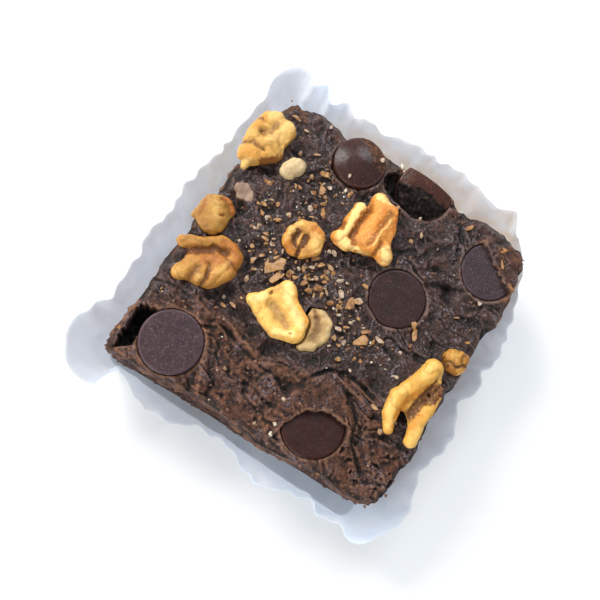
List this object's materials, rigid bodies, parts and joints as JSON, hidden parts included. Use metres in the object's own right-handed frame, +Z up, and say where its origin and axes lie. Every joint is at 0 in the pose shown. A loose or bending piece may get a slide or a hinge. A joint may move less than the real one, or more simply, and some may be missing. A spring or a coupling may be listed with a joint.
{
  "type": "chocolate brownie",
  "caption": "Square chocolate brownie with large chocolate discs, walnut pieces and husk flakes on its crust, in a flared, crimped paper case.",
  "frame": {"origin": "middle of the flat base of the paper case, on the surface it stands on", "axes": "+Z up through the crust; +X from the side by the cleft corner towards the side with the long walnut piece; +Y towards the higher wall of the paper case"},
  "size_m": [0.0835, 0.0872, 0.0329],
  "materials": {
    "paper": "thin crimped greaseproof paper, bluish white, a little see-through",
    "brownie_crumb": "moist fudge crust, dark and glossy in the middle, matt brown and crumbly towards the edges and on the cut sides",
    "chocolate": "dark chocolate, satin, with fine pale bloom specks",
    "walnut": "toasted walnut, cream to amber, wrinkled, with tan skin in places",
    "nut_blanched": "pale blanched nut, slightly see-through"
  },
  "bodies": {
    "root": {"paper_case": "paper", "brownie": "brownie_crumb", "disc_left": "chocolate", "disc_centre": "chocolate", "disc_right": "chocolate", "disc_front": "chocolate", "drop_back": "chocolate", "drop_hollow": "chocolate", "walnut_corner": "walnut", "walnut_round": "walnut", "walnut_wings": "walnut", "walnut_curl": "walnut", "walnut_large": "walnut", "walnut_kite": "walnut", "walnut_slice": "walnut", "walnut_long": "walnut", "walnut_bulb": "walnut", "nut_pale": "nut_blanched", "nut_grey": "nut_blanched"}
  },
  "joints": []
}
